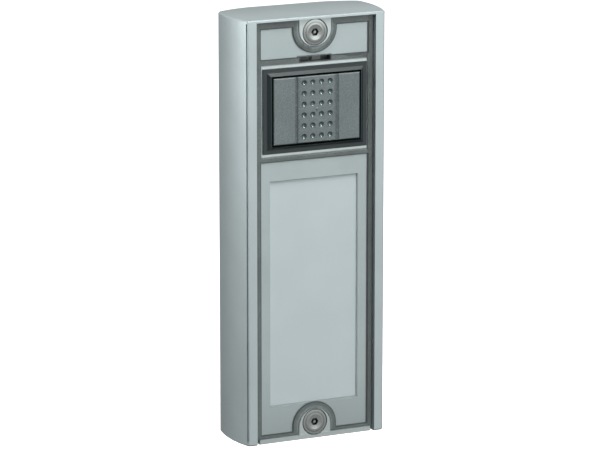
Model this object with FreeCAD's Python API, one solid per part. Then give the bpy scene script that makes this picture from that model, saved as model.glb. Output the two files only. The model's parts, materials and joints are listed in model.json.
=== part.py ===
import FreeCAD, Part
import math
import os

# Surface-mounted door call station: a tall aluminium profile with bowed flanks and an
# arched back, a silver chassis held in it by two security screws, a clear window cover
# on a dark ladder-shaped seal, an illuminated name card, and one large push button.
#
# Frame: origin at the centre of the wall face, +Z up, +X to the viewer's right,
# the front looks along -Y and the wall plane is Y = 0. Lengths are in millimetres.
# "d" is the depth of a point behind the front plane of the housing.

# overall housing
HEIGHT = 180.0
DEPTH = 32.0
STRIP_INNER_X = 27.0
STRIP_OUTER_X = 30.9
STRIP_EDGE_R = 0.4
GROOVE_W = 0.4
GROOVE_D = 1.8
FLANK_START_D = 0.9
FLANK_MID = (33.7, 14.0)
FLANK_END = (32.6, 26.2)
BACK_START = (31.6, 27.6)
BACK_MID = (25.0, 30.3)
BACK_FLAT_X = 16.5
TOP_CAP_T = 1.1
BOTTOM_CAP_T = 1.8
TOP_CAP_EASE = 0.35
BOTTOM_CAP_EASE = 0.6

# inside of the housing
LEDGE_D = 8.0
LEDGE_END_D = 10.0
THROAT_X = 24.0
CAVITY = ((30.6, 10.0), (31.4, 18.0), (30.6, 25.4), (24.4, 28.2), (16.0, 29.8))
BACK_WALL_D = 29.8
PORT_X = 29.7
PORT_D = 5.5
PORT_R = 1.6
PEG_R = 1.55
PEG_LEN = 7.0
COLLAR_LEN = 3.0
COLLAR_GAP = 0.15
COLLAR_T = 1.6
COLLAR_INNER_X = 12.0

# fixing to the wall and cable entry
SLOT_SPACING = 110.0
SLOT_R = 2.6
SLOT_LEN = 9.0
CABLE_Z = -30.0
CABLE_HOLE_R = 8.0
CABLE_R = 3.0

# chassis
CHASSIS_X = 26.7
CHASSIS_D0 = 2.5
CHASSIS_T = 2.0
CHASSIS_TOP = 88.6
CHASSIS_BOTTOM = -88.0
RAIL_INNER_X = 24.2
LIP_D0 = 0.9
LIP_X = 25.5
LIP_Z0 = -89.9
BOSS_D0 = 1.5
BOSS_R = 7.2
BOSS_Z = 84.5
PILLAR_R = 6.6
PILLAR_END_D = 9.0

# security screws, their seals and the posts they turn into
SCREW_Z = 83.1
SCREW_HEAD_R = 5.3
SCREW_HEAD_D0 = 1.2
SCREW_HEAD_D1 = 3.8
SCREW_SHANK_R = 2.45
SCREW_END_D = 17.0
SCREW_DOME_H = 0.45
DISH_R = 3.25
DISH_DEEP = 0.5
DISH_SINK = 0.17
SOCKET_AF = 3.0
SOCKET_DEEP = 2.0
PIN_R = 0.55
PIN_BELOW = 0.7
COUNTERBORE_R = 5.7
COUNTERBORE_D1 = 4.3
CLEARANCE_R = 2.75
POST_R = 4.5
POST_HOLE_R = 2.5
POST_HOLE_D1 = 20.0
SPIGOT_R = 2.75
SPIGOT_END_D = 31.6

# window cover and ladder seal
COVER_X = 26.4
COVER_TOP = 88.75
COVER_BOTTOM = -87.8
COVER_D0 = 0.3
COVER_D1 = 1.8
COVER_EDGE = 0.3
SEAL_D1 = 2.5
SEAL_STEP_D = 2.1
SEAL_STEP_W = 0.45
RIM_INNER_X = 24.2
RIM_TOP_Z = 85.6
RIM_BOTTOM_Z = -86.4
UPPER_BAR = (70.7, 73.1)
LOWER_BAR = (29.9, 32.1)
NOTCH_R = 7.45
NOTCH_OUTER_R = 10.1
SLIT_X = 7.2
SLIT_Z = (71.05, 73.2)
SLIT_MARGIN = 0.35

# name card, diffuser and their window in the chassis
CARD_W = 39.8
CARD_H = 96.0
CARD_Z = -26.45
CARD_D0 = 3.5
CARD_T = 0.3
DIFFUSER_T = 1.6
CARD_GAP = 0.05
CARD_EDGE = 0.3
FRAME_LIP = 2.0
FRAME_WALL = 1.5
FRAME_END_D = 7.2

# push button
BUTTON_Z = 51.4
FLANGE_W = 47.0
FLANGE_H = 35.6
FLANGE_D0 = 1.3
FLANGE_T = 0.9
BEVEL_W = 43.6
BEVEL_H = 32.2
BEVEL_RUN = 1.3
BEZEL_BODY_W = 42.6
BEZEL_BODY_H = 31.2
BEZEL_END_D = 9.0
BEZEL_HOLE_W = 40.5
BEZEL_HOLE_H = 29.6
OPENING_W = 43.0
OPENING_H = 31.6
HOOK_X = 12.0
HOOK_W = 6.0
HOOK_REACH = 1.0
HOOK_D = (4.6, 5.8)
CAP_W = 38.9
CAP_H = 27.8
CAP_D0 = -0.5
CAP_PLATE_D1 = 2.2
CAP_SKIRT_D1 = 4.6
CAP_WALL = 1.4
CAP_CHAMFER = 0.35
BAND_X = 9.3
BAND_CREST_D = -0.6
BAND_EDGE_D = -0.4
BAND_GROOVE_W = 1.4
BAND_GROOVE_DEEP = 0.4
DIMPLE_COLS = 4
DIMPLE_ROWS = 6
DIMPLE_PITCH_X = 3.93
DIMPLE_PITCH_Z = 4.51
DIMPLE_R = 1.25
DIMPLE_DEEP = 1.0
PIP_R = 0.75
PIP_H = 0.35
TRAVEL = 1.2
STEM_R = 3.5
STEM_END_D = 11.1
GUIDE_D1 = 10.4
GUIDE_HOLE_R = 3.55
CLIP_R = 5.0
CLIP_GROOVE_R = 2.9
CLIP_D = (10.45, 10.95)
SPRING_X = 13.0
SPRING_R = 2.5
SPRING_WIRE_R = 0.35
SPRING_TURNS = 5
SPRING_SPIGOT_R = 1.7
SPRING_SPIGOT_LEN = 2.0
GUIDE_SCREW_X = 19.0
GUIDE_SCREW_Z = 13.2

# electronics
BOARD_D0 = 16.5
BOARD_T = 1.6
BOARD_X = 23.4
BOARD_TOP = 76.0
BOARD_BOTTOM = -82.0
BOARD_NOTCH_X = 6.0
BOARD_NOTCH_Z = -77.0
BOARD_FIXINGS = ((20.0, 73.2), (20.0, 28.6), (14.0, -79.2))
STANDOFF_R = 2.5
SWITCH_W = 12.0
SWITCH_D0 = 12.4
PLUNGER_R = 2.5
PLUNGER_D = (11.15, 13.9)
PLUNGER_BORE_R = 2.55
PLUNGER_BORE_D1 = 15.7
LED_W = 5.0
LED_T = 1.6
LED_X = 9.0
LED_Z = (8.0, -15.0, -38.0, -61.0)
SENSOR_X = 1.9
SENSOR_W = 4.2
SENSOR_D = (4.9, 5.9)
HOLDER_X = 7.8
HOLDER_Z = (68.8, 73.4)
HOLDER_D1 = 8.2
HOLDER_FOOT_W = 6.0
TERMINAL_POLES = 4
TERMINAL_PITCH = 5.0
TERMINAL_H = 8.0
TERMINAL_T = 9.0
TERMINAL_Z = -69.0


def at(depth):
    """Y of a depth behind the front plane."""
    return depth - DEPTH


def block(x0, x1, d0, d1, z0, z1):
    """Box between two x, two depths and two z."""
    corner = FreeCAD.Vector(x0, at(d0), z0)
    return Part.makeBox(x1 - x0, d1 - d0, z1 - z0, corner)


def centred_block(width, height, d0, d1, z):
    """Box centred on x = 0 and on z."""
    return block(-width / 2, width / 2, d0, d1, z - height / 2, z + height / 2)


def rod(radius, x, z, d0, d1):
    """Cylinder that runs straight back from depth d0 to depth d1."""
    base = FreeCAD.Vector(x, at(d0), z)
    return Part.makeCylinder(radius, d1 - d0, base, FreeCAD.Vector(0, 1, 0))


def tower(radius, x, d, z0, z1):
    """Upright cylinder."""
    base = FreeCAD.Vector(x, at(d), z0)
    return Part.makeCylinder(radius, z1 - z0, base, FreeCAD.Vector(0, 0, 1))


def plan(x, d):
    """Point of a plan section, drawn at z = 0."""
    return FreeCAD.Vector(x, at(d), 0)


def line(a, b):
    return Part.LineSegment(a, b).toShape()


def arc(a, b, c):
    return Part.Arc(a, b, c).toShape()


def mirrored(edges):
    """The same edges on the other side of x = 0."""
    centre = FreeCAD.Vector(0, 0, 0)
    return [edge.mirror(centre, FreeCAD.Vector(1, 0, 0)) for edge in edges]


def closed_wire(edges):
    return Part.Wire(Part.__sortEdges__(edges))


def prism(wire, z0, z1):
    """Upright prism over a plan section."""
    solid = Part.Face(wire).extrude(FreeCAD.Vector(0, 0, z1 - z0))
    solid.translate(FreeCAD.Vector(0, 0, z0))
    return solid


def flank_edges(start):
    """Bowed flank, back corner and arched back, from start to the flat of the back."""
    flank_end = plan(*FLANK_END)
    back_start = plan(*BACK_START)
    back_flat = plan(BACK_FLAT_X, DEPTH)
    edges = []
    edges.append(arc(start, plan(*FLANK_MID), flank_end))
    edges.append(line(flank_end, back_start))
    edges.append(arc(back_start, plan(*BACK_MID), back_flat))
    return edges


def outline_with_grooves():
    """Outer section of the profile, with a fine groove between strip and flank."""
    bulge = STRIP_EDGE_R * (1 - math.sqrt(0.5))
    strip_end = plan(STRIP_OUTER_X - STRIP_EDGE_R, 0)
    strip_mid = plan(STRIP_OUTER_X - bulge, bulge)
    strip_side = plan(STRIP_OUTER_X, STRIP_EDGE_R)
    groove_in = plan(STRIP_OUTER_X, GROOVE_D)
    groove_out = plan(STRIP_OUTER_X + GROOVE_W, GROOVE_D)
    flank = plan(STRIP_OUTER_X + GROOVE_W, FLANK_START_D)
    half = [
        arc(strip_end, strip_mid, strip_side),
        line(strip_side, groove_in),
        line(groove_in, groove_out),
        line(groove_out, flank),
    ]
    half += flank_edges(flank)
    front = line(plan(-STRIP_OUTER_X + STRIP_EDGE_R, 0), strip_end)
    back = line(plan(BACK_FLAT_X, DEPTH), plan(-BACK_FLAT_X, DEPTH))
    return closed_wire([front, back] + half + mirrored(half))


def plain_outline():
    """Outer section without the grooves, for the end caps."""
    corner_x = STRIP_OUTER_X + GROOVE_W
    corner_end = plan(corner_x, FLANK_START_D)
    front_end = plan(corner_x - FLANK_START_D, 0)
    bulge = FLANK_START_D * (1 - math.sqrt(0.5))
    half = [arc(front_end, plan(corner_x - bulge, bulge), corner_end)]
    half += flank_edges(corner_end)
    front = line(plan(-corner_x + FLANK_START_D, 0), front_end)
    back = line(plan(BACK_FLAT_X, DEPTH), plan(-BACK_FLAT_X, DEPTH))
    return closed_wire([front, back] + half + mirrored(half))


def cavity_wire(inset):
    """Inner section of the back cavity, drawn in by an inset."""
    right = [(x - inset, d) for x, d in CAVITY[:3]]
    right += [(x - inset, d - inset) for x, d in CAVITY[3:]]
    left = [(-x, d) for x, d in reversed(right)]
    points = [plan(x, d) for x, d in right + left]
    return Part.makePolygon(points + [points[0]])


def slot_cutter(z):
    """Upright slot through the back wall."""
    reach = SLOT_LEN / 2 - SLOT_R
    d0 = BACK_WALL_D - 1
    d1 = DEPTH + 1
    ends = rod(SLOT_R, 0, z - reach, d0, d1).fuse(rod(SLOT_R, 0, z + reach, d0, d1))
    return ends.fuse(block(-SLOT_R, SLOT_R, d0, d1, z - reach, z + reach))


def housing_profile():
    """Extruded housing: two front strips, bowed flanks, ledges and the back wall."""
    z0 = -HEIGHT / 2 + BOTTOM_CAP_T
    z1 = HEIGHT / 2 - TOP_CAP_T
    body = prism(outline_with_grooves(), z0, z1)
    body = body.cut(block(-STRIP_INNER_X, STRIP_INNER_X, -1, LEDGE_D, z0, z1))
    body = body.cut(block(-THROAT_X, THROAT_X, LEDGE_D, LEDGE_END_D, z0, z1))
    body = body.cut(prism(cavity_wire(0), z0, z1))
    for side in (-1, 1):
        body = body.cut(tower(PORT_R, side * PORT_X, PORT_D, z0, z1))
        body = body.cut(slot_cutter(side * SLOT_SPACING / 2))
        body = body.cut(rod(SPIGOT_R, 0, side * SCREW_Z, BACK_WALL_D - 1, DEPTH + 1))
    return body.cut(rod(CABLE_HOLE_R, 0, CABLE_Z, BACK_WALL_D - 1, DEPTH + 1))


def eased_plate(thickness, ease, top):
    """End plate with its outer rim eased on one face."""
    outer = plain_outline()
    inner = outer.makeOffset2D(-ease)
    foot = 0 if top else ease
    far = thickness if top else 0
    near = thickness - ease if top else ease
    plate = prism(outer, foot, foot + thickness - ease)
    inner.translate(FreeCAD.Vector(0, 0, far))
    outer.translate(FreeCAD.Vector(0, 0, near))
    return plate.fuse(Part.makeLoft([outer, inner], True, True))


def collar(z0, z1):
    """Two short walls of an end cap that plug into the cavity of the profile."""
    outer = prism(cavity_wire(COLLAR_GAP), z0, z1)
    inner = prism(cavity_wire(COLLAR_GAP + COLLAR_T), z0, z1)
    walls = outer.cut(inner)
    walls = walls.cut(block(-COLLAR_INNER_X, COLLAR_INNER_X, 0, DEPTH, z0, z1))
    return walls.cut(block(-STRIP_OUTER_X, STRIP_OUTER_X, 0, CAVITY[0][1] + COLLAR_T, z0, z1))


def top_end_cap():
    """Flat top plate with two pegs and a plug-in collar."""
    z = HEIGHT / 2 - TOP_CAP_T
    cap = eased_plate(TOP_CAP_T, TOP_CAP_EASE, True)
    cap.translate(FreeCAD.Vector(0, 0, z))
    for side in (-1, 1):
        cap = cap.fuse(tower(PEG_R, side * PORT_X, PORT_D, z - PEG_LEN, z))
    return cap.fuse(collar(z - COLLAR_LEN, z)).removeSplitter()


def bottom_end_cap():
    """Flat bottom plate, notched at the front for the lip of the chassis."""
    z = -HEIGHT / 2 + BOTTOM_CAP_T
    cap = eased_plate(BOTTOM_CAP_T, BOTTOM_CAP_EASE, False)
    cap.translate(FreeCAD.Vector(0, 0, -HEIGHT / 2))
    notch_d = CHASSIS_D0 + CHASSIS_T + 0.3
    notch = block(-STRIP_INNER_X, STRIP_INNER_X, -1, notch_d, -HEIGHT / 2 - 1, z + 1)
    cap = cap.cut(notch)
    for side in (-1, 1):
        cap = cap.fuse(tower(PEG_R, side * PORT_X, PORT_D, z, z + PEG_LEN))
    return cap.fuse(collar(z, z + COLLAR_LEN)).removeSplitter()


def u_prism(radius, d0, d1, side, z_end):
    """Tongue with a half-round end that runs out to the top or bottom edge."""
    z = side * BOSS_Z
    straight = block(-radius, radius, d0, d1, min(z, z_end), max(z, z_end))
    inward = z - side * radius
    limit = block(-radius, radius, d0, d1, min(inward, z), max(inward, z))
    return rod(radius, 0, z, d0, d1).common(limit).fuse(straight)


def card_window(margin, d0, d1):
    """Rectangular block round the name card, larger by a margin on every side."""
    return centred_block(CARD_W + 2 * margin, CARD_H + 2 * margin, d0, d1, CARD_Z)


def slit_surround(d0, d1):
    """Block round the slit, larger by the wall of the seal's tunnel."""
    x = SLIT_X + SLIT_MARGIN
    return block(-x, x, d0, d1, SLIT_Z[0] - SLIT_MARGIN, SLIT_Z[1] + SLIT_MARGIN)


def card_window_edge():
    """Bevel round the front edge of the card window."""
    width = CARD_W + 2 * CARD_GAP
    height = CARD_H + 2 * CARD_GAP
    front = rectangle(width + 2 * CARD_EDGE, height + 2 * CARD_EDGE, CHASSIS_D0, CARD_Z)
    back = rectangle(width, height, CHASSIS_D0 + CARD_EDGE, CARD_Z)
    return Part.makeLoft([front, back], True, True)


def board_fixing_points():
    """Centres of the six standoffs of the circuit board."""
    return [(side * x, z) for x, z in BOARD_FIXINGS for side in (-1, 1)]


def chassis():
    """Silver chassis: face plate, side rails, two screw bosses, lip and card frame."""
    d1 = CHASSIS_D0 + CHASSIS_T
    body = block(-CHASSIS_X, CHASSIS_X, CHASSIS_D0, d1, CHASSIS_BOTTOM, CHASSIS_TOP)
    for side in (-1, 1):
        x0 = min(side * RAIL_INNER_X, side * CHASSIS_X)
        rail = block(x0, x0 + CHASSIS_X - RAIL_INNER_X, d1, LEDGE_D,
                     CHASSIS_BOTTOM, CHASSIS_TOP)
        body = body.fuse(rail)
        end = CHASSIS_TOP if side > 0 else CHASSIS_BOTTOM
        body = body.fuse(u_prism(BOSS_R, BOSS_D0, CHASSIS_D0, side, end))
        body = body.fuse(rod(PILLAR_R, 0, side * (SCREW_Z - 2), d1, PILLAR_END_D))
    body = body.fuse(block(-LIP_X, LIP_X, LIP_D0, d1, LIP_Z0, CHASSIS_BOTTOM))
    body = body.fuse(card_window(CARD_GAP + FRAME_WALL, d1, FRAME_END_D))
    for x, z in board_fixing_points():
        body = body.fuse(rod(STANDOFF_R, x, z, d1, BOARD_D0))
    body = body.cut(card_window(CARD_GAP, 0, CARD_D0 + CARD_T + DIFFUSER_T))
    body = body.cut(card_window(-FRAME_LIP, 0, FRAME_END_D))
    body = body.cut(centred_block(OPENING_W, OPENING_H, 0, d1 + 1, BUTTON_Z))
    body = body.cut(slit_surround(0, d1 + 1))
    body = body.cut(card_window_edge())
    for side in (-1, 1):
        z = side * SCREW_Z
        body = body.cut(rod(COUNTERBORE_R, 0, z, 0, COUNTERBORE_D1))
        body = body.cut(rod(CLEARANCE_R, 0, z, 0, PILLAR_END_D))
    for x, z in board_fixing_points():
        body = body.cut(rod(1.1, x, z, BOARD_D0 - 8, BOARD_D0))
    return body.removeSplitter()


def chassis_post(side):
    """Threaded post between the back wall and one screw pillar of the chassis."""
    z = side * SCREW_Z
    post = rod(POST_R, 0, z, PILLAR_END_D, BACK_WALL_D)
    post = post.fuse(rod(SPIGOT_R - 0.02, 0, z, BACK_WALL_D, SPIGOT_END_D))
    return post.cut(rod(POST_HOLE_R, 0, z, PILLAR_END_D, POST_HOLE_D1))


def hex_prism(across_flats, z, d0, d1):
    """Hexagonal block that runs straight back."""
    radius = across_flats / math.sqrt(3)
    points = []
    for i in range(6):
        angle = math.radians(60 * i)
        x = radius * math.cos(angle)
        points.append(FreeCAD.Vector(x, at(d0), z + radius * math.sin(angle)))
    face = Part.Face(Part.makePolygon(points + [points[0]]))
    return face.extrude(FreeCAD.Vector(0, d1 - d0, 0))


def cover_screw(side):
    """Domed security screw: shallow dish, hexagon socket and a centre pin."""
    z = side * SCREW_Z
    rim_d = SCREW_HEAD_D0 + SCREW_DOME_H
    dome_r = (SCREW_HEAD_R ** 2 + SCREW_DOME_H ** 2) / (2 * SCREW_DOME_H)
    centre = FreeCAD.Vector(0, at(SCREW_HEAD_D0 + dome_r), z)
    ball = Part.makeSphere(dome_r, centre)
    head = rod(SCREW_HEAD_R, 0, z, SCREW_HEAD_D0 - 0.5, rim_d + 0.3).common(ball)
    head = head.fuse(rod(SCREW_HEAD_R, 0, z, rim_d + 0.2, SCREW_HEAD_D1))
    dish_ball_r = (DISH_R ** 2 + DISH_DEEP ** 2) / (2 * DISH_DEEP)
    dish_centre = FreeCAD.Vector(0, at(SCREW_HEAD_D0 + DISH_SINK + DISH_DEEP - dish_ball_r), z)
    dish = Part.makeSphere(dish_ball_r, dish_centre)
    socket_end = SCREW_HEAD_D0 + SOCKET_DEEP
    socket = hex_prism(SOCKET_AF, z, SCREW_HEAD_D0 - 1, socket_end)
    socket = socket.cut(rod(PIN_R, 0, z, SCREW_HEAD_D0 + PIN_BELOW, socket_end))
    shank = rod(SCREW_SHANK_R, 0, z, SCREW_HEAD_D1, SCREW_END_D)
    return head.cut(dish).cut(socket).fuse(shank).removeSplitter()


def screw_seal(side):
    """Flat rubber ring under the head of a cover screw."""
    z = side * SCREW_Z
    ring = rod(SCREW_HEAD_R, 0, z, SCREW_HEAD_D1, COUNTERBORE_D1)
    return ring.cut(rod(SCREW_SHANK_R + 0.1, 0, z, SCREW_HEAD_D1, COUNTERBORE_D1))


def ladder_openings(d0, d1):
    """Button opening, slit and the two screw notches shared by cover and seal."""
    button = block(-RIM_INNER_X, RIM_INNER_X, d0, d1, LOWER_BAR[1], UPPER_BAR[0])
    slit = block(-SLIT_X, SLIT_X, d0, d1, *SLIT_Z)
    top = u_prism(NOTCH_R, d0, d1, 1, COVER_TOP + 1)
    bottom = u_prism(NOTCH_R, d0, d1, -1, COVER_BOTTOM - 1)
    return button.fuse(slit).fuse(top).fuse(bottom)


def window_cover():
    """Clear cover plate with bevelled outer edges."""
    cover = block(-COVER_X, COVER_X, COVER_D0, COVER_D1, COVER_BOTTOM, COVER_TOP)
    front = [e for e in cover.Edges if abs(e.BoundBox.YMax - at(COVER_D0)) < 1e-6]
    cover = cover.makeChamfer(COVER_EDGE, front)
    return cover.cut(ladder_openings(COVER_D0 - 1, COVER_D1 + 1)).removeSplitter()


def ladder(inset, d0, d1):
    """Ladder outline: rim, two cross bars and a collar round each notch."""
    x = RIM_INNER_X + inset
    plate = block(-COVER_X, COVER_X, d0, d1, COVER_BOTTOM, COVER_TOP)
    upper = block(-x, x, d0, d1, UPPER_BAR[1] - inset, RIM_TOP_Z + inset)
    lower = block(-x, x, d0, d1, RIM_BOTTOM_Z - inset, LOWER_BAR[0] + inset)
    upper = upper.cut(u_prism(NOTCH_OUTER_R - inset, d0, d1, 1, COVER_TOP))
    lower = lower.cut(u_prism(NOTCH_OUTER_R - inset, d0, d1, -1, COVER_BOTTOM))
    return plate.cut(upper).cut(lower)


def cover_gasket():
    """Dark ladder-shaped seal with stepped edges and a tunnel that lines the slit."""
    seal = ladder(SEAL_STEP_W, COVER_D1, SEAL_STEP_D).fuse(ladder(0, SEAL_STEP_D, SEAL_D1))
    tunnel_end = CHASSIS_D0 + CHASSIS_T
    seal = seal.fuse(slit_surround(COVER_D1, tunnel_end))
    return seal.cut(ladder_openings(COVER_D1 - 1, tunnel_end + 1)).removeSplitter()


def name_card():
    """Blank name card."""
    return card_window(0, CARD_D0, CARD_D0 + CARD_T)


def card_diffuser():
    """Opal plate that lights the card evenly."""
    d0 = CARD_D0 + CARD_T
    return card_window(CARD_GAP / 2, d0, d0 + DIFFUSER_T)


def button_bezel():
    """Black bezel: flat flange, bevel that rises to the button, body and four hooks."""
    flange_d1 = FLANGE_D0 + FLANGE_T
    z = BUTTON_Z
    low = rectangle(BEVEL_W, BEVEL_H, FLANGE_D0, z)
    high = rectangle(BEVEL_W - 2 * BEVEL_RUN, BEVEL_H - 2 * BEVEL_RUN, 0, z)
    bezel = Part.makeLoft([low, high], True, True)
    bezel = bezel.fuse(centred_block(FLANGE_W, FLANGE_H, FLANGE_D0, flange_d1, z))
    bezel = bezel.fuse(centred_block(BEZEL_BODY_W, BEZEL_BODY_H, flange_d1, BEZEL_END_D, z))
    for x in (-HOOK_X, HOOK_X):
        hook = block(x - HOOK_W / 2, x + HOOK_W / 2, HOOK_D[0], HOOK_D[1],
                     z - BEZEL_BODY_H / 2 - HOOK_REACH, z + BEZEL_BODY_H / 2 + HOOK_REACH)
        bezel = bezel.fuse(hook)
    bezel = bezel.cut(centred_block(BEZEL_HOLE_W, BEZEL_HOLE_H, -1, BEZEL_END_D + 1, z))
    for x, dz in guide_corners():
        pad_x = math.copysign(BEZEL_HOLE_W / 2 - 1.8, x)
        pad_z = math.copysign(BEZEL_HOLE_H / 2 - 1.8, dz)
        pad = block(min(x, pad_x) - 1.8, max(x, pad_x) + 1.8, 6.4, BEZEL_END_D,
                    z + min(dz, pad_z) - 1.8, z + max(dz, pad_z) + 1.8)
        bezel = bezel.fuse(pad.common(centred_block(BEZEL_BODY_W, BEZEL_BODY_H, 0, 20, z)))
        bezel = bezel.cut(rod(0.9, x, z + dz, 6.9, BEZEL_END_D))
    return bezel.removeSplitter()


def rectangle(width, height, d, z):
    """Rectangular wire facing the viewer at one depth."""
    xs = (-width / 2, width / 2, width / 2, -width / 2)
    zs = (-height / 2, -height / 2, height / 2, height / 2)
    points = [FreeCAD.Vector(x, at(d), z + dz) for x, dz in zip(xs, zs)]
    return Part.makePolygon(points + [points[0]])


def guide_corners():
    """Offsets of the four screws that hold the key guide to the bezel."""
    return [(sx * GUIDE_SCREW_X, sz * GUIDE_SCREW_Z) for sx in (-1, 1) for sz in (-1, 1)]


def bezel_gasket():
    """Thin foam ring between the bezel flange and the chassis."""
    d0 = FLANGE_D0 + FLANGE_T
    ring = centred_block(FLANGE_W - 1, FLANGE_H - 1, d0, CHASSIS_D0, BUTTON_Z)
    return ring.cut(centred_block(OPENING_W, OPENING_H, d0, CHASSIS_D0, BUTTON_Z))


def key_guide():
    """Plate behind the bezel with the guide bore of the button's stem."""
    plate = centred_block(BEZEL_BODY_W, BEZEL_BODY_H, BEZEL_END_D, GUIDE_D1, BUTTON_Z)
    plate = plate.cut(rod(GUIDE_HOLE_R, 0, BUTTON_Z, BEZEL_END_D, GUIDE_D1))
    for x, dz in guide_corners():
        plate = plate.cut(rod(1.15, x, BUTTON_Z + dz, BEZEL_END_D, GUIDE_D1))
    return plate


def pan_screw(x, z, shank_r, head_r, head_h, d_tip, d_head):
    """Small pan-head screw driven from behind, with a cross-shaped recess."""
    screw = rod(shank_r, x, z, d_tip, d_head)
    screw = screw.fuse(rod(head_r, x, z, d_head, d_head + head_h))
    deep = head_h / 2
    arm = head_r * 0.6
    wide = head_r * 0.15
    d1 = d_head + head_h
    screw = screw.cut(block(x - arm, x + arm, d1 - deep, d1, z - wide, z + wide))
    return screw.cut(block(x - wide, x + wide, d1 - deep, d1, z - arm, z + arm))


def guide_screws():
    """Four screws that hold the key guide."""
    return [pan_screw(x, BUTTON_Z + dz, 0.85, 1.7, 1.2, 7.0, GUIDE_D1)
            for x, dz in guide_corners()]


def button_cap():
    """Push-button cap: two flat sides, and a convex centre band with rows of dimples."""
    z = BUTTON_Z
    cap = centred_block(CAP_W, CAP_H, CAP_D0, CAP_SKIRT_D1, z)
    front = [e for e in cap.Edges if abs(e.BoundBox.YMax - at(CAP_D0)) < 1e-6]
    cap = cap.makeChamfer(CAP_CHAMFER, front)
    rise = BAND_EDGE_D - BAND_CREST_D
    band_r = (BAND_X ** 2 + rise ** 2) / (2 * rise)
    cut = block(-BAND_X, BAND_X, CAP_D0 - 1, CAP_PLATE_D1, z - CAP_H, z + CAP_H)
    crown = tower(band_r, 0, BAND_CREST_D + band_r, z - CAP_H, z + CAP_H)
    cap = cap.cut(cut.cut(crown))
    half = BAND_GROOVE_W / 2
    groove_r = (half ** 2 + BAND_GROOVE_DEEP ** 2) / (2 * BAND_GROOVE_DEEP)
    groove_d = CAP_D0 + BAND_GROOVE_DEEP - groove_r
    for x in (-BAND_X, BAND_X):
        cap = cap.cut(tower(groove_r, x, groove_d, z - CAP_H, z + CAP_H))
    inner_w = CAP_W - 2 * CAP_WALL
    inner_h = CAP_H - 2 * CAP_WALL
    cap = cap.cut(centred_block(inner_w, inner_h, CAP_PLATE_D1, CAP_SKIRT_D1, z))
    ball_r = (DIMPLE_R ** 2 + DIMPLE_DEEP ** 2) / (2 * DIMPLE_DEEP)
    for col in range(DIMPLE_COLS):
        x = (col - (DIMPLE_COLS - 1) / 2) * DIMPLE_PITCH_X
        surface_d = BAND_CREST_D + band_r - math.sqrt(band_r ** 2 - x ** 2)
        for row in range(DIMPLE_ROWS):
            dz = (row - (DIMPLE_ROWS - 1) / 2) * DIMPLE_PITCH_Z
            centre = FreeCAD.Vector(x, at(surface_d + DIMPLE_DEEP - ball_r), z + dz)
            cap = cap.cut(Part.makeSphere(ball_r, centre))
    pip_ball_r = (PIP_R ** 2 + PIP_H ** 2) / (2 * PIP_H)
    pip = Part.makeSphere(pip_ball_r, FreeCAD.Vector(0, at(CAP_D0 - PIP_H + pip_ball_r), z))
    cap = cap.fuse(pip.common(rod(PIP_R, 0, z, CAP_D0 - PIP_H, CAP_D0 + 0.2)))
    for x in (-SPRING_X, SPRING_X):
        end = CAP_PLATE_D1 + SPRING_SPIGOT_LEN
        cap = cap.fuse(rod(SPRING_SPIGOT_R, x, z, CAP_PLATE_D1, end))
    return cap


def button_stem():
    """Stem behind the cap, with a groove for the retaining clip."""
    stem = rod(STEM_R, 0, BUTTON_Z, CAP_PLATE_D1, STEM_END_D)
    groove = rod(STEM_R + 1, 0, BUTTON_Z, *CLIP_D)
    return stem.cut(groove.cut(rod(CLIP_GROOVE_R, 0, BUTTON_Z, *CLIP_D)))


def stem_clip():
    """Open retaining clip in the groove of the stem."""
    ring = rod(CLIP_R, 0, BUTTON_Z, *CLIP_D)
    ring = ring.cut(rod(CLIP_GROOVE_R, 0, BUTTON_Z, *CLIP_D))
    z0 = BUTTON_Z - CLIP_R - 1
    mouth = block(-CLIP_GROOVE_R + 0.4, CLIP_GROOVE_R - 0.4, CLIP_D[0], CLIP_D[1], z0, BUTTON_Z)
    return ring.cut(mouth)


def return_spring(x):
    """Coil spring between the key guide and the cap."""
    gap = 0.02
    length = BEZEL_END_D - CAP_PLATE_D1 - 2 * SPRING_WIRE_R - 2 * gap
    helix = Part.makeHelix(length / SPRING_TURNS, length, SPRING_R)
    start = FreeCAD.Vector(SPRING_R, 0, 0)
    circle = Part.Circle(start, FreeCAD.Vector(0, 1, 0), SPRING_WIRE_R)
    profile = Part.Wire(circle.toShape())
    coil = Part.Wire(helix.Edges).makePipeShell([profile], True, True)
    coil.rotate(FreeCAD.Vector(0, 0, 0), FreeCAD.Vector(1, 0, 0), -90)
    d0 = CAP_PLATE_D1 + SPRING_WIRE_R + gap
    coil.translate(FreeCAD.Vector(x, at(d0), BUTTON_Z))
    return Part.Solid(coil) if coil.ShapeType == "Shell" else coil


def circuit_board():
    """Circuit board with clearance for the lower post and six fixing holes."""
    board = block(-BOARD_X, BOARD_X, BOARD_D0, BOARD_D0 + BOARD_T, BOARD_BOTTOM, BOARD_TOP)
    notch = block(-BOARD_NOTCH_X, BOARD_NOTCH_X, BOARD_D0, BOARD_D0 + BOARD_T,
                  BOARD_BOTTOM, BOARD_NOTCH_Z)
    board = board.cut(notch)
    for x, z in board_fixing_points():
        board = board.cut(rod(1.3, x, z, BOARD_D0, BOARD_D0 + BOARD_T))
    return board


def board_screws():
    """Six screws that hold the board to the chassis standoffs."""
    head_d = BOARD_D0 + BOARD_T
    return [pan_screw(x, z, 1.0, 2.1, 1.5, BOARD_D0 - 6, head_d)
            for x, z in board_fixing_points()]


def switch_body():
    """Key switch on the board, with the bore of its plunger."""
    body = centred_block(SWITCH_W, SWITCH_W, SWITCH_D0, BOARD_D0, BUTTON_Z)
    uprights = [e for e in body.Edges if e.BoundBox.YLength > 1]
    body = body.makeChamfer(0.8, uprights)
    return body.cut(rod(PLUNGER_BORE_R, 0, BUTTON_Z, SWITCH_D0, PLUNGER_BORE_D1))


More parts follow.
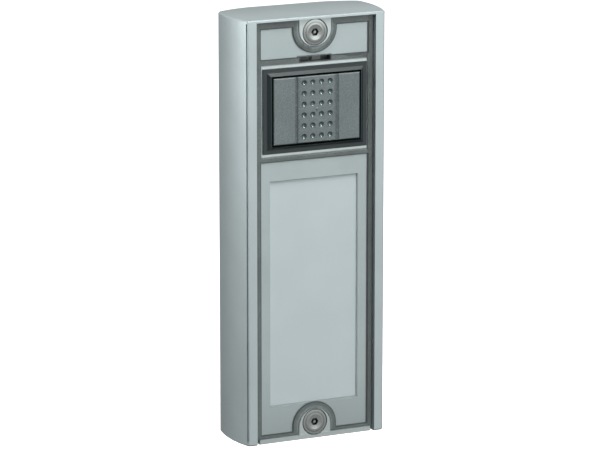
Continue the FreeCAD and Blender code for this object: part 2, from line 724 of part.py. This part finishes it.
def switch_plunger():
    """Plunger of the key switch, just behind the stem."""
    return rod(PLUNGER_R, 0, BUTTON_Z, *PLUNGER_D)


def led(x, z):
    """Flat light source with a shallow well."""
    half = LED_W / 2
    body = block(x - half, x + half, BOARD_D0 - LED_T, BOARD_D0, z - half, z + half)
    return body.cut(rod(half - 0.7, x, z, BOARD_D0 - LED_T, BOARD_D0 - LED_T + 0.5))


def leds():
    """Two columns of light sources behind the diffuser."""
    return [led(side * LED_X, z) for z in LED_Z for side in (-1, 1)]


def light_sensor():
    """Flat light sensor in front of its holder, seen through the slit."""
    half = SENSOR_W / 2
    z0, z1 = HOLDER_Z
    body = block(SENSOR_X - half, SENSOR_X + half, *SENSOR_D, z0 + 0.2, z1 - 0.2)
    front = [e for e in body.Edges if abs(e.BoundBox.YMax - at(SENSOR_D[0])) < 1e-6]
    return body.makeChamfer(0.3, front)


def sensor_holder():
    """Dark plate that closes the slit from behind, on a foot on the board."""
    d0 = SENSOR_D[1]
    plate = block(-HOLDER_X, HOLDER_X, d0, HOLDER_D1, *HOLDER_Z)
    reach = HOLDER_FOOT_W / 2
    foot = block(SENSOR_X - reach, SENSOR_X + reach, HOLDER_D1, BOARD_D0,
                 HOLDER_Z[0] + 0.8, HOLDER_Z[1] - 0.8)
    return plate.fuse(foot).removeSplitter()


def terminal_columns():
    """Centres of the poles of the terminal block."""
    return [(i - (TERMINAL_POLES - 1) / 2) * TERMINAL_PITCH for i in range(TERMINAL_POLES)]


def terminal_block():
    """Wire terminal on the back of the board: wire mouths below, screws behind."""
    d0 = BOARD_D0 + BOARD_T
    width = TERMINAL_POLES * TERMINAL_PITCH
    body = centred_block(width, TERMINAL_H, d0, d0 + TERMINAL_T, TERMINAL_Z)
    for x in terminal_columns():
        mouth = block(x - 1.6, x + 1.6, d0 + 1.2, d0 + 4.6,
                      TERMINAL_Z - TERMINAL_H, TERMINAL_Z + 1)
        body = body.cut(mouth)
        body = body.cut(rod(1.8, x, TERMINAL_Z + 1, d0 + 6.0, d0 + TERMINAL_T))
    return body


def terminal_screw(x):
    """Slotted clamp screw of one pole."""
    d0 = BOARD_D0 + BOARD_T + 6.0
    screw = rod(1.7, x, TERMINAL_Z + 1, d0, d0 + 1.8)
    z = TERMINAL_Z + 1
    return screw.cut(block(x - 2, x + 2, d0 + 1.1, d0 + 1.8, z - 0.3, z + 0.3))


def terminal_screws():
    """One clamp screw in each pole."""
    return [terminal_screw(x) for x in terminal_columns()]


def cable_grommet():
    """Rubber grommet in the cable entry, flush with the wall plane."""
    grommet = rod(CABLE_HOLE_R + 1.6, 0, CABLE_Z, BACK_WALL_D - 1.6, BACK_WALL_D)
    grommet = grommet.fuse(rod(CABLE_HOLE_R - 0.05, 0, CABLE_Z, BACK_WALL_D, DEPTH - 0.2))
    return grommet.cut(rod(CABLE_R, 0, CABLE_Z, BACK_WALL_D - 3, DEPTH))


def both(maker):
    """The same piece at the top and at the bottom."""
    return [maker(1), maker(-1)]


NODES = {
    "housing_profile": [housing_profile()],
    "top_end_cap": [top_end_cap()],
    "bottom_end_cap": [bottom_end_cap()],
    "chassis": [chassis()],
    "chassis_posts": both(chassis_post),
    "cover_screws": both(cover_screw),
    "screw_seals": both(screw_seal),
    "window_cover": [window_cover()],
    "cover_gasket": [cover_gasket()],
    "name_card": [name_card()],
    "card_diffuser": [card_diffuser()],
    "button_bezel": [button_bezel()],
    "bezel_gasket": [bezel_gasket()],
    "key_guide": [key_guide()],
    "guide_screws": guide_screws(),
    "button_cap": [button_cap()],
    "button_stem": [button_stem()],
    "stem_clip": [stem_clip()],
    "return_springs": [return_spring(-SPRING_X), return_spring(SPRING_X)],
    "switch_body": [switch_body()],
    "switch_plunger": [switch_plunger()],
    "circuit_board": [circuit_board()],
    "board_screws": board_screws(),
    "leds": leds(),
    "light_sensor": [light_sensor()],
    "sensor_holder": [sensor_holder()],
    "terminal_block": [terminal_block()],
    "terminal_screws": terminal_screws(),
    "cable_grommet": [cable_grommet()],
}

os.makedirs("parts", exist_ok=True)
for name, solids in NODES.items():
    shape = solids[0] if len(solids) == 1 else Part.makeCompound(solids)
    shape.exportStep("parts/" + name + ".step")
    count = len(shape.Solids)
    print(name, "solids", count, "valid", shape.isValid(), "volume", round(shape.Volume, 1))
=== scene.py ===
import json
import math

import bpy
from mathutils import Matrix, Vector


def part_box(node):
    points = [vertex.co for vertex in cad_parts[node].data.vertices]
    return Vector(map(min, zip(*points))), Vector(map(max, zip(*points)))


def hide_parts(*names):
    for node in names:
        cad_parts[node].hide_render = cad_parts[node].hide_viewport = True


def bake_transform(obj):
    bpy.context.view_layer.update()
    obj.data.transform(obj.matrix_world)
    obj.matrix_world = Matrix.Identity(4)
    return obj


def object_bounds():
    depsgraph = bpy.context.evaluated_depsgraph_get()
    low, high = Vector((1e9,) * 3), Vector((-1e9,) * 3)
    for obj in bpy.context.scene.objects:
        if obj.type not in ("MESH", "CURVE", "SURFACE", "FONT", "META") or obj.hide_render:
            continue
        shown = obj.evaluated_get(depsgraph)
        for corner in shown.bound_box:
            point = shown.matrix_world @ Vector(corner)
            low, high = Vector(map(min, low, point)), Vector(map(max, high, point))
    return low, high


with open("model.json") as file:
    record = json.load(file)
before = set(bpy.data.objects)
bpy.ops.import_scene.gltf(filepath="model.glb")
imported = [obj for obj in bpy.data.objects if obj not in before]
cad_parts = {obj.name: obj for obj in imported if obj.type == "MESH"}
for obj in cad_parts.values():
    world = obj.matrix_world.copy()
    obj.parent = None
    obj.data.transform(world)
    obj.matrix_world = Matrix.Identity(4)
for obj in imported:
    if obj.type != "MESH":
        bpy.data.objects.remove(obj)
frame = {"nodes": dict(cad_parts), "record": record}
cad_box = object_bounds()
nodes = frame["nodes"]

# ---------------------------------------------------------------- materials

# grain and clouding of every opaque finish; a noise stays nearly always within its run
NOISE_LOW, NOISE_HIGH = 0.35, 0.65
FINE_DETAIL = 3.0
FINE_ROUGH = 0.6
CLOUD_SCALE = 60.0
GLOSS_VARY = 0.06
SATIN_SPECULAR = 0.7

# places on the object where a finish changes or where painted shade and painted light start and
# end, in metres
RIGHT_RIM_X = (0.0240, 0.0244)
NOTCH_CENTRE_Z = 0.0845
NOTCH_LIP_R = (0.0080, 0.0086)
HEAD_RING_R = 0.0042
BAND_EDGE_X = 0.0088
BAND_STRAY = 0.0006
BACK_SHADE_Y = (-0.023, -0.007)
LIGHT_BAND_MARGIN = 0.0015
CARD_SHADE_SIZE = 0.0004
EDGE_FADE = 0.0001
FOOT_SHADE_RUN = 0.012


def new_material(name):
    """Empty node material and its Principled shader."""
    mat = bpy.data.materials.new(name)
    mat.use_nodes = True
    tree = mat.node_tree
    shader = tree.nodes["Principled BSDF"]
    return mat, tree, shader


def parts_of(mat):
    """Node tree of a finish made by surface() and its shader."""
    return mat.node_tree, mat.node_tree.nodes["Principled BSDF"]


def object_axes(tree):
    """X, Y and Z in the object's own coordinates, in metres."""
    coord = tree.nodes.new("ShaderNodeTexCoord")
    split = tree.nodes.new("ShaderNodeSeparateXYZ")
    tree.links.new(coord.outputs["Object"], split.inputs["Vector"])
    return split.outputs


def noise(tree, scale, detail=2.0, rough=0.5, stretch=(1, 1, 1)):
    """Noise in the object's own coordinates, in metres."""
    coord = tree.nodes.new("ShaderNodeTexCoord")
    mapping = tree.nodes.new("ShaderNodeMapping")
    mapping.inputs["Scale"].default_value = stretch
    tex = tree.nodes.new("ShaderNodeTexNoise")
    tex.inputs["Scale"].default_value = scale
    tex.inputs["Detail"].default_value = detail
    tex.inputs["Roughness"].default_value = rough
    tree.links.new(coord.outputs["Object"], mapping.inputs["Vector"])
    tree.links.new(mapping.outputs["Vector"], tex.inputs["Vector"])
    return tex.outputs["Fac"]


def spread(tree, value, low, high, floor=NOISE_LOW, ceiling=NOISE_HIGH):
    """Maps a value from floor..ceiling, by default the run of a noise, to low..high."""
    node = tree.nodes.new("ShaderNodeMapRange")
    node.inputs["From Min"].default_value = floor
    node.inputs["From Max"].default_value = ceiling
    node.inputs["To Min"].default_value = low
    node.inputs["To Max"].default_value = high
    tree.links.new(value, node.inputs["Value"])
    return node.outputs["Result"]


def masked(tree, mask, outside, inside):
    """One number where the mask is 0 and another where it is 1."""
    return spread(tree, mask, outside, inside, 0.0, 1.0)


def along(tree, axis, start, end, low, high):
    """Number that runs from low to high between two places on an object axis."""
    return spread(tree, object_axes(tree)[axis], low, high, start, end)


def combine(tree, operation, a, b=0.0):
    """Arithmetic on two values."""
    node = tree.nodes.new("ShaderNodeMath")
    node.operation = operation
    for socket, value in zip(node.inputs, (a, b)):
        if isinstance(value, (int, float)):
            socket.default_value = value
        else:
            tree.links.new(value, socket)
    return node.outputs["Value"]


def stretch_mask(tree, axis, start, end, fade):
    """1 between two places on an object axis and 0 outside, with short fades."""
    rise = along(tree, axis, start - fade, start, 0.0, 1.0)
    fall = along(tree, axis, end, end + fade, 1.0, 0.0)
    return combine(tree, "MULTIPLY", rise, fall)


def tint(tree, value, dark, light):
    """Maps a noise value to a run between two colours."""
    ramp = tree.nodes.new("ShaderNodeValToRGB")
    ramp.color_ramp.elements[0].position = NOISE_LOW
    ramp.color_ramp.elements[0].color = (*dark, 1)
    ramp.color_ramp.elements[1].position = NOISE_HIGH
    ramp.color_ramp.elements[1].color = (*light, 1)
    tree.links.new(value, ramp.inputs["Fac"])
    return ramp.outputs["Color"]


def relief_from(tree, shader, height, distance):
    """Surface relief from a height value."""
    node = tree.nodes.new("ShaderNodeBump")
    node.inputs["Strength"].default_value = 1.0
    node.inputs["Distance"].default_value = distance
    tree.links.new(height, node.inputs["Height"])
    tree.links.new(node.outputs["Normal"], shader.inputs["Normal"])


def scale_colour(tree, shader, factor):
    """Multiplies the base colour by a value."""
    colour = shader.inputs["Base Color"].links[0].from_socket
    node = tree.nodes.new("ShaderNodeVectorMath")
    node.operation = "SCALE"
    tree.links.new(colour, node.inputs[0])
    tree.links.new(factor, node.inputs["Scale"])
    tree.links.new(node.outputs["Vector"], shader.inputs["Base Color"])


def shade(tone, factor):
    """A lighter or darker shade of a colour."""
    return tuple(c * factor for c in tone)


def surface(name, tone, metallic, rough, grain, grain_size, relief, vary=0.06):
    """Opaque finish: mottled colour, uneven gloss and a fine relief."""
    mat, tree, shader = new_material(name)
    shader.inputs["Metallic"].default_value = metallic
    fine = noise(tree, 1 / grain_size, FINE_DETAIL, FINE_ROUGH)
    broad = noise(tree, CLOUD_SCALE)
    colour = tint(tree, fine, shade(tone, 1 - grain), shade(tone, 1 + grain))
    cloud = tint(tree, broad, (1 - vary,) * 3, (1 + vary,) * 3)
    mix = tree.nodes.new("ShaderNodeMix")
    mix.data_type = "RGBA"
    mix.blend_type = "MULTIPLY"
    mix.inputs["Factor"].default_value = 1.0
    tree.links.new(colour, mix.inputs["A"])
    tree.links.new(cloud, mix.inputs["B"])
    tree.links.new(mix.outputs["Result"], shader.inputs["Base Color"])
    gloss = spread(tree, fine, rough - GLOSS_VARY, rough + GLOSS_VARY)
    tree.links.new(gloss, shader.inputs["Roughness"])
    relief_from(tree, shader, fine, relief)
    return mat


def clear_plastic(name):
    """Clear cover: lets light straight through and mirrors by angle, on entry only."""
    mat = bpy.data.materials.new(name)
    mat.use_nodes = True
    tree = mat.node_tree
    tree.nodes.remove(tree.nodes["Principled BSDF"])
    through = tree.nodes.new("ShaderNodeBsdfTransparent")
    through.inputs["Color"].default_value = (0.95, 0.962, 0.965, 1)
    gloss = tree.nodes.new("ShaderNodeBsdfGlossy")
    scratches = noise(tree, 900.0, FINE_DETAIL, FINE_ROUGH, (1, 1, 0.15))
    tree.links.new(spread(tree, scratches, 0.03, 0.09), gloss.inputs["Roughness"])
    fresnel = tree.nodes.new("ShaderNodeFresnel")
    fresnel.inputs["IOR"].default_value = 1.5
    geometry = tree.nodes.new("ShaderNodeNewGeometry")
    entering = combine(tree, "SUBTRACT", 1.0, geometry.outputs["Backfacing"])
    mirrored = combine(tree, "MULTIPLY", fresnel.outputs["Fac"], entering)
    mix = tree.nodes.new("ShaderNodeMixShader")
    tree.links.new(mirrored, mix.inputs["Fac"])
    tree.links.new(through.outputs["BSDF"], mix.inputs[1])
    tree.links.new(gloss.outputs["BSDF"], mix.inputs[2])
    tree.links.new(mix.outputs["Shader"], tree.nodes["Material Output"].inputs["Surface"])
    return mat


def notch_radius(tree, axis_z):
    """Distance from the nearer of two axes that run along Y, at z = axis_z and -axis_z."""
    axes = object_axes(tree)
    up = combine(tree, "SUBTRACT", combine(tree, "ABSOLUTE", axes["Z"]), axis_z)
    squares = combine(tree, "ADD", combine(tree, "MULTIPLY", up, up),
                      combine(tree, "MULTIPLY", axes["X"], axes["X"]))
    return combine(tree, "SQRT", squares)


def stepped_seal(name):
    """Dark rubber, with painted shade in its step and on the right and painted light beside the
    two notches.
    """
    mat = surface(name, (0.125, 0.148, 0.143), 0.0, 0.5, 0.16, 0.0006, 0.00001, 0.10)
    tree, shader = parts_of(mat)
    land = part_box("cover_gasket")[0][1]
    # painted shade: darker more than 0.1 mm behind the seal's front face, in its step
    scale_colour(tree, shader, along(tree, "Y", land + 0.00002, land + 0.0001, 1.0, 0.5))
    # painted shade: darker on the right rim
    scale_colour(tree, shader, along(tree, "X", *RIGHT_RIM_X, 1.0, 0.68))
    # painted light: paler round the two notches
    radius = notch_radius(tree, NOTCH_CENTRE_Z)
    scale_colour(tree, shader, spread(tree, radius, 1.6, 1.0, *NOTCH_LIP_R))
    return mat


def turned_screw(name):
    """Turned steel with a faint ring in the head, and painted shade in the socket and below the
    rim.
    """
    mat = surface(name, (0.34, 0.37, 0.362), 1.0, 0.32, 0.08, 0.0003, 0.000004)
    tree, shader = parts_of(mat)
    low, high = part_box("cover_screws")
    head_radius = high[0]
    radius = notch_radius(tree, high[2] - head_radius)
    off_ring = combine(tree, "ABSOLUTE", combine(tree, "SUBTRACT", radius, HEAD_RING_R))
    scale_colour(tree, shader, spread(tree, off_ring, 0.6, 1.0, 0.0001, 0.0004))
    # painted shade: darker more than 1.2 mm behind the crown, in the socket and on the head's
    # sides
    scale_colour(tree, shader, along(tree, "Y", low[1] + 0.0008, low[1] + 0.0012, 1.0, 0.2))
    return mat


def glossy_bezel(name):
    """Black moulded plastic with a satin shine."""
    mat = surface(name, (0.006, 0.017, 0.018), 0.0, 0.42, 0.15, 0.0003, 0.000004)
    parts_of(mat)[1].inputs["Specular IOR Level"].default_value = SATIN_SPECULAR
    return mat


def band_edge_shade(tree):
    """Painted shade: a dark stippled stripe along both edges of the dimpled band, 1 elsewhere."""
    across = combine(tree, "ABSOLUTE", object_axes(tree)["X"])
    stray = spread(tree, noise(tree, 1500.0), -BAND_STRAY, BAND_STRAY)
    offset = combine(tree, "SUBTRACT", combine(tree, "ADD", across, stray), BAND_EDGE_X)
    distance = combine(tree, "ABSOLUTE", offset)
    return spread(tree, distance, 0.62, 1.0, 0.0004, 0.0011)


def dimpled_button(name):
    """Grained plastic with glossy dimples and sides and a painted shade stipple beside the band.
    """
    mat = surface(name, (0.118, 0.149, 0.150), 0.0, 0.42, 0.22, 0.0006, 0.000035)
    tree, shader = parts_of(mat)
    shader.inputs["Specular IOR Level"].default_value = SATIN_SPECULAR
    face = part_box("button_cap")[0][1]
    hollow = along(tree, "Y", face + 0.0006, face + 0.001, 0.0, 1.0)
    # painted shade in the grooves beside the band; the dimples and sides are lighter and metallic
    tone = combine(tree, "MULTIPLY", band_edge_shade(tree), masked(tree, hollow, 1.0, 1.25))
    scale_colour(tree, shader, tone)
    tree.links.new(masked(tree, hollow, 0.0, 0.8), shader.inputs["Metallic"])
    rough = shader.inputs["Roughness"].links[0].from_socket
    rough = combine(tree, "SUBTRACT", rough, masked(tree, hollow, 0.0, 0.24))
    tree.links.new(rough, shader.inputs["Roughness"])
    height = shader.inputs["Normal"].links[0].from_node.inputs["Height"]
    flattened = combine(tree, "MULTIPLY", height.links[0].from_socket,
                        masked(tree, hollow, 1.0, 0.15))
    tree.links.new(flattened, height)
    return mat


def housing_paint(name):
    """Silver paint with painted shade towards the wall and on the front edge of the top."""
    mat = surface(name, (0.515, 0.592, 0.603), 0.9, 0.46, 0.05, 0.00025, 0.000003, 0.02)
    tree, shader = parts_of(mat)
    # painted shade: darker towards the wall
    scale_colour(tree, shader, along(tree, "Y", *BACK_SHADE_Y, 1.0, 0.83))
    # painted shade: darker along the front edge of the top
    low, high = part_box("top_end_cap")
    upper = along(tree, "Z", high[2] - 0.0004, high[2] - 0.0003, 0.0, 1.0)
    near = along(tree, "Y", low[1] + 0.0004, low[1] + 0.0006, 1.0, 0.0)
    edge = combine(tree, "MULTIPLY", upper, near)
    scale_colour(tree, shader, masked(tree, edge, 1.0, 0.6))
    return mat


def chassis_paint(name):
    """Silver paint with painted light round the button, painted shade towards its foot and a
    painted shade line below the name card.
    """
    mat = surface(name, (0.527, 0.587, 0.583), 0.5, 0.5, 0.05, 0.0003, 0.000003, 0.03)
    tree, shader = parts_of(mat)
    # painted light: brighter round the button, from just below to just above the bezel gasket
    low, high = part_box("bezel_gasket")
    painted_light_band = stretch_mask(tree, "Z", low[2] - LIGHT_BAND_MARGIN, high[2] + LIGHT_BAND_MARGIN, 2 * EDGE_FADE)
    scale_colour(tree, shader, masked(tree, painted_light_band, 1.0, 1.5))
    # painted shade: a dark line just below the name card's foot
    card_low, card_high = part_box("name_card")
    foot = card_low[2]
    reach = card_high[0] + CARD_SHADE_SIZE
    upright = stretch_mask(tree, "Z", foot - CARD_SHADE_SIZE, foot + EDGE_FADE, EDGE_FADE)
    across = stretch_mask(tree, "X", -reach, reach, EDGE_FADE)
    card_foot_shade = combine(tree, "MULTIPLY", upright, across)
    scale_colour(tree, shader, masked(tree, card_foot_shade, 1.0, 0.6))
    # painted shade: darker below the name card's foot
    scale_colour(tree, shader, along(tree, "Z", foot - FOOT_SHADE_RUN, foot + FOOT_SHADE_RUN, 0.83, 1.0))
    return mat


# tone, metallic, roughness, grain, grain size, relief and, where it differs, clouding
PLAIN_FINISHES = {
    "zinc_posts": ("zinc", (0.55, 0.55, 0.53), 1.0, 0.35, 0.08, 0.0004, 0.000004),
    "small_screws": ("small_screw_zinc", (0.55, 0.55, 0.53), 1.0, 0.35, 0.08, 0.0003, 0.000003),
    "black_rubber": ("rubber", (0.03, 0.03, 0.03), 0.0, 0.6, 0.2, 0.0004, 0.00001),
    "white_card": ("card", (0.605, 0.662, 0.672), 0.0, 0.7, 0.02, 0.0002, 0.000001, 0.015),
    "opal_plastic": ("opal", (0.7, 0.72, 0.71), 0.0, 0.5, 0.03, 0.0004, 0.000004),
    "black_inner_plastic": ("inner_plastic", (0.03, 0.03, 0.03), 0.0, 0.5, 0.15, 0.0004, 0.00001),
    "white_plunger": ("acetal", (0.7, 0.7, 0.66), 0.0, 0.45, 0.04, 0.0004, 0.000004),
    "spring_steel": ("spring", (0.45, 0.45, 0.45), 1.0, 0.3, 0.08, 0.0003, 0.000003),
    "board_laminate": ("laminate", (0.20, 0.12, 0.06), 0.0, 0.55, 0.15, 0.0005, 0.00001),
    "led_lens": ("led", (0.8, 0.76, 0.5), 0.0, 0.25, 0.05, 0.0004, 0.000003),
    "grey_sensor": ("sensor", (0.24, 0.25, 0.245), 0.0, 0.5, 0.12, 0.0004, 0.00001),
    "green_terminal": ("terminal", (0.04, 0.20, 0.09), 0.0, 0.45, 0.12, 0.0004, 0.00001),
}

MATERIALS = {
    "silver_painted_aluminium": housing_paint("silver_paint"),
    "silver_chassis": chassis_paint("chassis_paint"),
    "stainless_screws": turned_screw("stainless"),
    "clear_cover": clear_plastic("clear_polycarbonate"),
    "dark_seal": stepped_seal("seal"),
    "black_bezel": glossy_bezel("bezel"),
    "grey_button": dimpled_button("button"),
}
for slot_name, finish in PLAIN_FINISHES.items():
    MATERIALS[slot_name] = surface(*finish)

# the holder shares the button's plastic, without its dimples and band
NODE_MATERIALS = {
    "sensor_holder": surface("holder", (0.10, 0.125, 0.12), 0.0, 0.5, 0.12, 0.0004, 0.00001),
}

for part in frame["record"]["subparts"]:
    obj = nodes[part["node"]]
    material = NODE_MATERIALS.get(part["node"], MATERIALS[part["material_slot"]])
    for slot in obj.material_slots:
        slot.material = material

# ---------------------------------------------------------------- springs

# A copy of the return springs takes the place of the original, which is hidden.
coils = nodes["return_springs"]
springs = bpy.data.objects.new("coil_springs", coils.data.copy())
springs.matrix_world = coils.matrix_world
bpy.context.scene.collection.objects.link(springs)
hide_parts("return_springs")
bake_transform(springs)

# ---------------------------------------------------------------- stage and light

FLOOR_REACH = 20.0
bottom = cad_box[0][2]
floor_mesh = bpy.data.meshes.new("floor")
floor_mesh.from_pydata(
    [(x * FLOOR_REACH, y * FLOOR_REACH, bottom) for x, y in ((-1, -1), (1, -1), (1, 1), (-1, 1))],
    [], [(0, 1, 2, 3)])
floor = bpy.data.objects.new("floor", floor_mesh)
bpy.context.scene.collection.objects.link(floor)
floor_mat, _, floor_shader = new_material("floor_paper")
floor_shader.inputs["Base Color"].default_value = (0.92, 0.92, 0.92, 1)
floor_shader.inputs["Roughness"].default_value = 0.9
floor_shader.inputs["Emission Color"].default_value = (1, 1, 1, 1)
floor_shader.inputs["Emission Strength"].default_value = 0.7
floor_mesh.materials.append(floor_mat)
floor.visible_diffuse = False
floor.visible_glossy = False
floor.visible_shadow = False

world = bpy.data.worlds.new("studio")
bpy.context.scene.world = world
world.use_nodes = True
sky = world.node_tree


def sky_lobe(direction, edge, full, low, high):
    """Soft studio wall: brightness that rises towards one direction."""
    coord = sky.nodes.new("ShaderNodeTexCoord")
    dot = sky.nodes.new("ShaderNodeVectorMath")
    dot.operation = "DOT_PRODUCT"
    dot.inputs[1].default_value = Vector(direction).normalized()
    sky.links.new(coord.outputs["Generated"], dot.inputs[0])
    ramp = sky.nodes.new("ShaderNodeMapRange")
    ramp.interpolation_type = "SMOOTHSTEP"
    ramp.inputs["From Min"].default_value = edge
    ramp.inputs["From Max"].default_value = full
    ramp.inputs["To Min"].default_value = low
    ramp.inputs["To Max"].default_value = high
    sky.links.new(dot.outputs["Value"], ramp.inputs["Value"])
    return ramp.outputs["Result"]


ceiling = sky_lobe((0, 0, 1), -0.5, 0.5, 0.14, 0.52)
front_wall = sky_lobe((0.42, -0.88, -0.24), 0.35, 1.0, 0.0, 0.42)
sky.nodes["Background"].inputs["Color"].default_value = (1, 1, 1, 1)
sky.links.new(combine(sky, "ADD", ceiling, front_wall), sky.nodes["Background"].inputs["Strength"])


def area_light(name, place, aim, size, power):
    """Square soft light at a place, turned to a point."""
    data = bpy.data.lights.new(name, "AREA")
    data.size = size
    data.energy = power
    lamp = bpy.data.objects.new(name, data)
    lamp.location = place
    lamp.rotation_euler = (Vector(aim) - Vector(place)).to_track_quat("-Z", "Y").to_euler()
    bpy.context.scene.collection.objects.link(lamp)


area_light("left_softbox", (-0.50, 0.04, 0.24), (0, 0, 0.06), 0.30, 3.7)
area_light("top_softbox", (0.10, -0.34, 0.66), (0, 0, 0.04), 0.30, 3.6)
area_light("high_softbox", (-0.02, -0.56, 0.58), (0, -0.03, 0.05), 0.12, 0.8)
area_light("front_softbox", (0.26, -0.62, 0.24), (0, 0, 0.0), 0.45, 0.9)

# ---------------------------------------------------------------- camera

AZIMUTH = math.radians(-24.74)
ELEVATION = math.radians(13.16)
DISTANCE = 1.554
AIM = Vector((-0.00066, -0.017, -0.00098))
FOCAL_IN_WIDTHS = 3712 / 600
SENSOR = 36.0

cam_data = bpy.data.cameras.new("camera")
cam_data.sensor_width = SENSOR
cam_data.lens = FOCAL_IN_WIDTHS * SENSOR
cam_data.clip_start = 0.01
cam = bpy.data.objects.new("camera", cam_data)
back = Vector((math.sin(AZIMUTH) * math.cos(ELEVATION),
               -math.cos(AZIMUTH) * math.cos(ELEVATION),
               math.sin(ELEVATION)))
cam.location = AIM + back * DISTANCE
cam.rotation_mode = "QUATERNION"
cam.rotation_quaternion = (-back).to_track_quat("-Z", "Y")
bpy.context.scene.collection.objects.link(cam)
bpy.context.scene.camera = cam
bpy.context.scene.view_settings.view_transform = "Standard"
